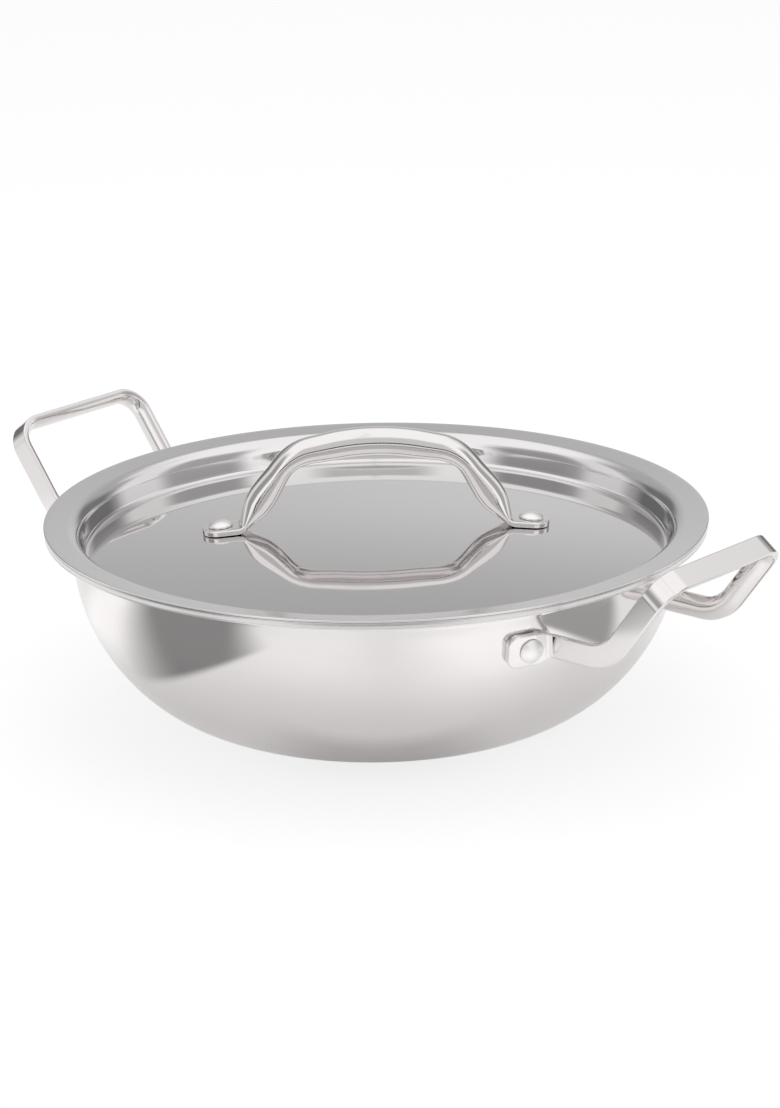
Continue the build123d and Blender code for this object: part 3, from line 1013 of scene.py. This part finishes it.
    def mount(self, way: float) -> Array:
        """The 3 by 4 matrix that puts a rivet's axis straight through the wall at one pad."""
        turn = about_z(way * self.mount_angle)
        out = turn @ (cosine(self.mount_tilt), 0, -sine(self.mount_tilt))
        across = turn @ (0, 1, 0)
        place = turn @ (self.mount_radius, 0, self.mount_height)
        return np.stack([across, np.cross(out, across), out, place], axis=1)


# Lid


@dataclass(frozen=True)
class Lid:
    """The pressed lid: a flange on the flared rim, a sunken wall and a panel that domes up slightly."""

    bowl: Bowl
    radius: float = 127.0
    sheet: float = 0.8
    seat_gap: float = 0.15
    wall_clearance: float = 0.7
    shoulder_radius: float = 6.0
    corner_radius: float = 2.0
    wall_angle: float = 80.0
    recess_depth: float = 11.3
    panel_edge_slope: float = 9.6
    edge_rounding: float = 0.3

    @property
    def edge_height(self) -> float:
        """Height of the flange's top at its edge."""
        slope = self.bowl.flare_slope
        height = self.bowl.rim_height + (self.radius - self.bowl.rim_radius) * tangent(slope)
        return height + (self.seat_gap + self.sheet) / cosine(slope)

    @property
    def shoulder_drop(self) -> float:
        """How far the bend from the flange to the wall goes down."""
        return self.shoulder_radius * (cosine(self.bowl.flare_slope) - cosine(self.wall_angle))

    @property
    def wall_top_radius(self) -> float:
        """Radius of the top of the lid's straight wall."""
        neck_inner = self.bowl.wall_radius - self.bowl.sheet
        outside = neck_inner - self.wall_clearance - self.sheet / sine(self.wall_angle)
        rise = self.edge_height - self.shoulder_drop - self.bowl.neck_height
        return outside + rise / tangent(self.wall_angle)

    @property
    def flange_run(self) -> float:
        """Length of the flange's straight part."""
        reach_in = self.shoulder_radius * (sine(self.wall_angle) - sine(self.bowl.flare_slope))
        return (self.radius - self.wall_top_radius - reach_in) / cosine(self.bowl.flare_slope)

    @property
    def wall_run(self) -> float:
        """Length of the wall's straight part."""
        corner_drop = self.corner_radius * (1 - cosine(self.wall_angle))
        return (self.recess_depth - self.shoulder_drop - corner_drop) / sine(self.wall_angle)

    @property
    def dome_radius(self) -> float:
        """Radius of the ball that the panel is part of."""
        edge = self.wall_top_radius - self.wall_run * cosine(self.wall_angle)
        edge -= self.corner_radius * (sine(self.wall_angle) + sine(self.panel_edge_slope))
        return edge / sine(self.panel_edge_slope)

    def face(self, offset: float) -> Array:
        """The line of a face from the middle of the panel to the flange's edge, below the top face."""
        slope = self.bowl.flare_slope
        moves = [
            self.flange_run,
            Bend(self.shoulder_radius, self.wall_angle - slope),
            self.wall_run,
            Bend(self.corner_radius, -self.wall_angle - self.panel_edge_slope),
            Bend(self.dome_radius, self.panel_edge_slope),
        ]
        start = (self.radius, self.edge_height)
        return traced(start, 180 + slope, moves, offset, spacing=2.2, turn_step=3.0)[::-1]

    def panel_height(self, reach: float) -> float:
        """Height of the panel at a distance from its middle."""
        return float(self.face(0)[0, 1]) - self.dome_radius + math.sqrt(self.dome_radius**2 - reach**2)

    def build(self) -> None:
        """Makes the lid's sheet and dresses it."""
        rounding = self.edge_rounding
        outline = sheet_outline(self.face(0), self.face(self.sheet), rounding, rounding)
        dressed(turned_skin("lid_sheet", outline), LID_STEEL, Body.LID, Slot.LID, "lid")


@dataclass(frozen=True)
class BridgeHandle:
    """The lid's handle: a tube pinched flat at both feet, with a riveted tab beyond each."""

    lid: Lid
    turn: float = 43.4
    tube: float = 11.2
    top_height: float = 35.86
    tab_thickness: float = 2.4
    tab_width: float = 14.0
    tip_reach: float = 66.5
    rivet_reach: float = 59.3
    foot_reach: float = 51.2
    shoulder_reach: float = 32.0
    crown_slope: float = 9.5
    foot_bend_radius: float = 4.0
    shoulder_bend_radius: float = 18.0
    crown_radius: float = 88.0
    seat_gap: float = 0.1
    end_rounding: float = 0.4
    tab_power: float = 7.0
    tab_fade: float = 5.0
    pinch_places: tuple[float, ...] = (0.0, 0.8, 2.5, 5.0, 7.0, 10.0, 14.5, 18.5, 25.0, 29.0, 38.0, 50.0)
    pinch_shares: tuple[float, ...] = (1.0, 0.97, 0.69, 0.45, 0.28, 0.06, 0.0, 0.07, 0.24, 0.27, 0.12, 0.0)

    def path(self) -> tuple[Array, Array]:
        """The middle line in the XZ plane, from one tab's tip over the crown to the other's."""
        tab_middle = self.seat_gap + self.tab_thickness / 2
        top = self.lid.edge_height + self.top_height - self.tube / 2
        half = np.array(
            [
                (self.tip_reach, 0, self.lid.panel_height(self.tip_reach) + tab_middle),
                (self.foot_reach, 0, self.lid.panel_height(self.foot_reach) + tab_middle),
                (self.shoulder_reach, 0, top - self.shoulder_reach * tangent(self.crown_slope)),
            ]
        )
        corners = np.concatenate([half * (-1, 1, 1), [(0, 0, top)], half[::-1]])
        radii = [self.foot_bend_radius, self.shoulder_bend_radius]
        return bent_path(corners, radii + [self.crown_radius] + radii[::-1], spacing=0.7)

    def rings(self, from_end: Array, points: Array, directions: Array) -> Array:
        """Rings of points whose sections change from a flat tab to a round tube.

        Each section is a superellipse, (x / a)^n + (y / b)^n = 1. From the tab to the tube, a shrinks
        from half the tab's width and b grows from half its thickness to the tube's radius by the pinch
        share at that distance, smoothed over seven stations, and n falls from the tab's power to 2.
        The tab's tip is a half circle in plan.

        Args:
            from_end: Distance of each station from the nearer end of the path.
            points: The stations.
            directions: The path's unit direction at each.

        Returns:
            The rings, before the handle is turned on the lid.
        """
        tab = self.tip_reach - self.foot_reach
        pinch = np.interp(from_end - tab, self.pinch_places, self.pinch_shares)
        kernel = np.hanning(7) / np.hanning(7).sum()
        pinch = np.convolve(np.pad(pinch, 3, mode="edge"), kernel, mode="valid")
        radius = self.tube / 2
        tip = self.tab_width / 2
        half_width = radius + pinch * (tip - radius)
        half_width = half_width * (1 - drawn_in(from_end, tip) / tip)
        half_height = radius + pinch * (self.tab_thickness / 2 - radius)
        half_height = half_height - drawn_in(from_end, self.end_rounding)
        squarer = eased(tab + self.tab_fade / 2 - from_end, 0, self.tab_fade)
        power = 2 / (2 + (self.tab_power - 2) * squarer)[:, None]
        angle = np.linspace(0, 2 * math.pi, 96, endpoint=False)
        across = half_width[:, None] * np.sign(np.cos(angle)) * np.abs(np.cos(angle)) ** power
        over = half_height[:, None] * np.sign(np.sin(angle)) * np.abs(np.sin(angle)) ** power
        sideways = np.array([0.0, 1.0, 0.0])
        up = np.cross(sideways, directions)[:, None]
        return points[:, None] + across[:, :, None] * sideways + over[:, :, None] * up

    def build(self) -> None:
        """Makes the handle and its two rivets and dresses them."""
        path = self.path()
        along = distances(path[0])
        ends = self.tab_width / 2 * (1 - np.cos(np.linspace(0, math.pi / 2, 22)))
        stops = np.unique(np.round(np.concatenate([along, ends[1:], along[-1] - ends[1:]]), 4))
        stops = stops[(stops > 0.01) & (stops < along[-1] - 0.01)]
        from_end = np.minimum(stops, stops[-1] - stops)
        spin = about_z(self.turn)
        rings = self.rings(from_end, *resampled(path, stops)) @ spin.T
        handle = skin("lid_bridge_handle", rings, rings[[0, -1]].mean(axis=1))
        dressed(handle, HANDLE_STEEL, Body.LID, Slot.HANDLES, "lid_handle")
        rivet = Rivet(self.lid.sheet + TAIL_GAP, self.seat_gap + self.tab_thickness + HEAD_GAP)
        for place, way in (("right", 1), ("left", -1)):
            rivet.build(f"lid_handle_{place}_rivet", spin @ self.mount(way), Body.LID, f"lid_{place}_rivet")

    def mount(self, way: float) -> Array:
        """The 3 by 4 matrix that puts a rivet's axis straight through the panel under one tab."""
        lean = math.degrees(math.asin(self.rivet_reach / self.lid.dome_radius))
        out = np.array([way * sine(lean), 0, cosine(lean)])
        down = np.array([way * cosine(lean), 0, -sine(lean)])
        place = np.array([way * self.rivet_reach, 0, self.lid.panel_height(self.rivet_reach)])
        return np.stack([down, np.cross(out, down), out, place], axis=1)


# Studio: floor, surroundings, lamp and camera


@dataclass(frozen=True)
class SoftPanel:
    """A light or dark area of the studio, seen from the object: its bearing, height, size and level.

    Bearing 0 is straight behind the object as the camera sees it, and 180 is the camera's side.
    """

    bearing: float
    elevation: float
    half_width: float
    half_height: float
    edge: float
    level: float


@dataclass(frozen=True)
class PaintedFloorPatch:
    """A patch of floor painted lighter or darker that only the steel shows: painted light and shade.

    Its outline is convex and runs clockwise as seen from above, in millimetres right of and behind
    the middle of the base. Each side starts at its corner and has its own softness.
    """

    level: float
    corners: tuple[tuple[float, float], ...]
    softness: tuple[float, ...]


# The studio as the steel sees it: a light above, tall softboxes at the sides and in front, and gaps
STUDIO_PANELS = (
    SoftPanel(5, 4, 12, 20, 13, 0.86),
    SoftPanel(180, 25, 60, 60, 14, 0.85),
    SoftPanel(140, 20, 16, 45, 8, 1.4),
    SoftPanel(-142, 20, 16, 45, 8, 1.4),
    SoftPanel(72, 20, 14, 40, 6, 1.15),
    SoftPanel(-75, 20, 13, 40, 6, 1.08),
    SoftPanel(109, 8, 15, 24, 6, 0.56),
    SoftPanel(-113, 15, 19, 16, 8, 0.46),
    SoftPanel(36, 5, 16, 16, 6, 0.27),
    SoftPanel(-35, 5, 17, 16, 6, 0.24),
    SoftPanel(180, -1, 27, 3.5, 2, 0.08),
    SoftPanel(0, 90, 181, 47, 7, 1.38),
    SoftPanel(51, 44, 14, 9, 5, 1.15),
)

# Patches of painted floor colour seen only in the steel, in front of, left and right of the object: painted
# softbox light, darker areas over it, and a painted contact shadow at the base
STUDIO_PAINTED_FLOOR_PATCHES = (
    # Painted light: lighter floor where the softboxes' light would pool, seen only in the steel
    PaintedFloorPatch(0.88, ((-150, -150), (-20, -150), (-20, -300), (-150, -300)), (40, 35, 50, 40)),
    PaintedFloorPatch(1.0, ((50, -110), (200, -110), (200, -270), (50, -270)), (40, 40, 50, 50)),
    PaintedFloorPatch(1.0, ((-330, 80), (-130, 80), (-130, -10), (-330, -10)), (30, 30, 25, 30)),
    # Darker areas to the left, to the right and far in front, seen only in the steel
    PaintedFloorPatch(0.25, ((-310, -42), (-113, -42), (-113, -162), (-225, -250), (-310, -270)), (38, 6, 34, 20, 8)),
    PaintedFloorPatch(0.34, ((140, -45), (281, -45), (281, -184), (206, -184)), (14, 13, 10, 6)),
    PaintedFloorPatch(0.08, ((-600, -1000), (600, -1000), (600, -2500), (-600, -2500)), (150, 60, 60, 60)),
    # Painted contact shadow on the floor in front of the base, seen only in the steel
    PaintedFloorPatch(0.6, ((-36, -58), (36, -58), (36, -93), (-36, -93)), (14, 24, 9, 24)),
)


@dataclass(frozen=True)
class Studio:
    """A white floor in a pale studio, with soft panels all round that the steel reflects."""

    flange_height: float
    rim_radius: float = 127.0
    look_turn: float = 41.2
    pitch: float = 17.87
    roll: float = -0.92
    distance: float = 12.0
    shift_right: float = -0.042
    shift_down: float = -0.121
    lens: float = 129.37
    surroundings: float = 0.6
    room_light: float = 0.75
    floor_radius: float = 2600.0
    floor_drop: float = 0.05
    floor_sides: int = 96
    paper_in_steel: str = "#E8E8E8"
    paper_to_camera: str = "#9A9A9A"
    glow_in_steel: float = 0.36
    glow_to_camera: float = 2.35
    lamp_size: float = 1.3
    lamp_height: float = 1.5
    lamp_power: float = 6.0
    panels: tuple[SoftPanel, ...] = STUDIO_PANELS
    # Patches of painted light and shade on the floor, seen only in the steel
    painted_patches: tuple[PaintedFloorPatch, ...] = STUDIO_PAINTED_FLOOR_PATCHES

    def camera(self) -> None:
        """Sets the camera at the photograph's viewing angle.

        The rows are its right, down and forward directions: forward is level minus the pitch, and the
        roll turns right and down about it. Its place, in rim radii from the flange's centre, is minus
        the rows' transpose times the offset of that centre in its view.
        """
        s, c = sine(self.pitch), cosine(self.pitch)
        rows = about_z(self.roll) @ np.array([[1, 0, 0], [0, -s, -c], [0, c, -s]])
        rows = rows @ about_z(self.look_turn).T
        place = -rows.T @ np.array([self.shift_right, self.shift_down, self.distance])
        data = bpy.data.cameras.new("studio_camera")
        data.sensor_fit = "VERTICAL"
        data.sensor_height = 36.0
        data.lens = self.lens
        data.clip_start = 0.01
        data.clip_end = 50.0
        camera = linked("studio_camera", data)
        matrix = np.eye(4)
        matrix[:3, :3] = (rows * [[1], [-1], [-1]]).T
        matrix[:3, 3] = (place * self.rim_radius + (0, 0, self.flange_height)) * MILLIMETRE
        camera.matrix_world = Matrix(matrix.tolist())
        bpy.context.scene.camera = camera

    def build(self) -> None:
        """Makes the camera, the floor, the surroundings and the lamp."""
        self.camera()
        self.floor()
        self.world()
        self.lamp()

    def floor(self) -> None:
        """A round white floor that keeps the object's shadow and reads as white beside it."""
        angle = np.linspace(0, 2 * math.pi, self.floor_sides, endpoint=False)
        x, y = self.floor_radius * np.cos(angle), self.floor_radius * np.sin(angle)
        corners = np.stack([x, y, 0 * angle - self.floor_drop], axis=1) * MILLIMETRE
        mesh = bpy.data.meshes.new("studio_floor")
        mesh.from_pydata(corners.tolist(), [], [list(range(self.floor_sides))])
        made = linked("studio_floor", mesh)
        paper = bpy.data.materials.new("white_paper_floor")
        tree = cleared(paper)
        in_steel = self.lit_paper(tree, self.floor_with_painted_patches(tree), self.glow_in_steel)
        straight = self.lit_paper(tree, linear(self.paper_to_camera), self.glow_to_camera)
        shown = add_node(tree, "LightPath", output="Is Camera Ray")
        both = add_node(tree, "MixShader", None, {0: shown, 1: in_steel, 2: straight})
        add_node(tree, "OutputMaterial", None, {"Surface": both})
        mesh.materials.append(paper)

    def lit_paper(self, tree: Tree, tint: tuple | Socket, strength: float) -> Socket:
        """Paper that takes shadows and also glows towards whoever sees it.

        The glow is there for what the camera sees, straight or in a mirror, and not for light that
        falls on things.

        Args:
            tree: The tree that gets the nodes.
            tint: The paper's colour, or the socket that gives it.
            strength: Strength of the glow, in shares of the colour.

        Returns:
            The shader's socket.
        """
        rays = ("Is Camera Ray", "Is Glossy Ray", "Is Transmission Ray")
        camera, glossy, through = (add_node(tree, "LightPath", output=ray) for ray in rays)
        seen = figure(tree, "MAXIMUM", figure(tree, "MAXIMUM", camera, glossy), through)
        glow = {"Color": tint, "Strength": figure(tree, "MULTIPLY", seen, strength)}
        sheet = add_node(tree, "BsdfDiffuse", None, {"Color": tint})
        return add_node(tree, "AddShader", None, {0: sheet, 1: add_node(tree, "Emission", None, glow)})

    def turned(self, tree: Tree, source: str, scale: float) -> Socket:
        """A place or direction turned so that Y points away from the camera, and scaled."""
        turn = {"Rotation": (0.0, 0.0, math.radians(-self.look_turn)), "Scale": (scale, scale, 1.0)}
        return add_node(tree, "Mapping", None, {"Vector": add_node(tree, "TexCoord", output=source), **turn})

    def floor_with_painted_patches(self, tree: Tree) -> Socket:
        """The paper's colour as the steel sees it, with patches of painted light and shade laid on it.

        A patch's share at a place is the product of its sides' shares. For a side from h, the distance
        inside is (p - h) . n, with n the side's direction turned right by 90 degrees.

        Args:
            tree: The tree that gets the nodes.

        Returns:
            The colour's socket.
        """
        place = self.turned(tree, "Object", 1 / MILLIMETRE)
        shown = add_node(tree, "LightPath", output="Is Glossy Ray")
        colour: tuple | Socket = linear(self.paper_in_steel)
        # Each patch lays painted light or painted shade on the floor's colour, for glossy rays only
        for painted_patch in self.painted_patches:
            share = shown
            for here, after, soft in zip(painted_patch.corners, painted_patch.corners[1:] + painted_patch.corners[:1], painted_patch.softness):
                run = unit(np.array(after) - here)
                inward = (float(run[1]), float(-run[0]), 0.0)
                reach = here[0] * inward[0] + here[1] * inward[1]
                product = {"operation": "DOT_PRODUCT"}
                inside = add_node(tree, "VectorMath", product, {0: place, 1: inward}, "Value")
                inside = mapped(tree, inside, (reach - soft, reach + soft), (0.0, 1.0), True)
                share = figure(tree, "MULTIPLY", share, inside)
            painted_patch_level = (painted_patch.level, painted_patch.level, painted_patch.level, 1.0)
            colour = add_node(tree, "Mix", {"data_type": "RGBA"}, {0: share, 6: colour, 7: painted_patch_level}, 2)
        return colour

    def panel_share(self, tree: Tree, panel: SoftPanel, bearing: Socket, elevation: Socket) -> Socket:
        """How much a direction lies inside a soft panel, from 0 to 1.

        Args:
            tree: The tree that gets the nodes.
            panel: The panel.
            bearing: The direction's bearing, whose distance from the panel's is taken the short way round.
            elevation: The direction's elevation.

        Returns:
            The share.
        """
        aside = figure(tree, "WRAP", figure(tree, "SUBTRACT", bearing, panel.bearing), 180.0, -180.0)
        above = figure(tree, "SUBTRACT", elevation, panel.elevation)
        shares = []
        for off, half in ((aside, panel.half_width), (above, panel.half_height)):
            edge = (half - panel.edge, half + panel.edge)
            shares.append(mapped(tree, figure(tree, "ABSOLUTE", off), edge, (1.0, 0.0), True))
        return figure(tree, "MULTIPLY", *shares)

    def world(self) -> None:
        """Surroundings: white to the camera, and soft panels by direction to the steel.

        The bearing is the angle whose tangent is x over y, and the elevation the one whose sine is z.
        """
        world = bpy.data.worlds.new("studio_surroundings")
        bpy.context.scene.world = world
        tree = cleared(world)
        way = {"Vector": self.turned(tree, "Generated", 1.0)}
        x, y, z = (add_node(tree, "SeparateXYZ", None, way, axis) for axis in "XYZ")
        bearing = figure(tree, "DEGREES", figure(tree, "ARCTAN2", x, y))
        elevation = figure(tree, "DEGREES", figure(tree, "ARCSINE", z))
        level: float | Socket = self.surroundings
        for panel in self.panels:
            share = self.panel_share(tree, panel, bearing, elevation)
            level = add_node(tree, "Mix", {"data_type": "FLOAT"}, {0: share, 2: level, 3: panel.level})
        strengths = (level, self.room_light, 1.0)
        panels, room, white = (add_node(tree, "Background", None, {"Strength": k}) for k in strengths)
        glossy = add_node(tree, "LightPath", output="Is Glossy Ray")
        camera = add_node(tree, "LightPath", output="Is Camera Ray")
        lit = add_node(tree, "MixShader", None, {0: glossy, 1: room, 2: panels})
        shown = add_node(tree, "MixShader", None, {0: camera, 1: lit, 2: white})
        add_node(tree, "OutputWorld", None, {"Surface": shown})

    def lamp(self) -> None:
        """One large lamp above, whose light makes the floor's soft shadow."""
        data = bpy.data.lights.new("overhead_softbox", "AREA")
        data.shape = "RECTANGLE"
        data.size = self.lamp_size
        data.size_y = self.lamp_size
        data.energy = self.lamp_power
        lamp = linked("overhead_softbox", data)
        lamp.location = (0.0, 0.0, self.lamp_height)
        lamp.visible_glossy = False


def main() -> None:
    """Builds the pieces in order, and then the studio round them."""
    logging.basicConfig(level=logging.INFO, format="%(name)s: %(message)s")
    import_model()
    bowl = Bowl()
    bowl.build()
    SideHandle(bowl, "right", 0.0).build()
    SideHandle(bowl, "left", 180.0).build()
    lid = Lid(bowl)
    lid.build()
    BridgeHandle(lid).build()
    Studio(lid.edge_height).build()
    bpy.context.scene.view_settings.view_transform = "Standard"


if __name__ == "__main__":
    main()
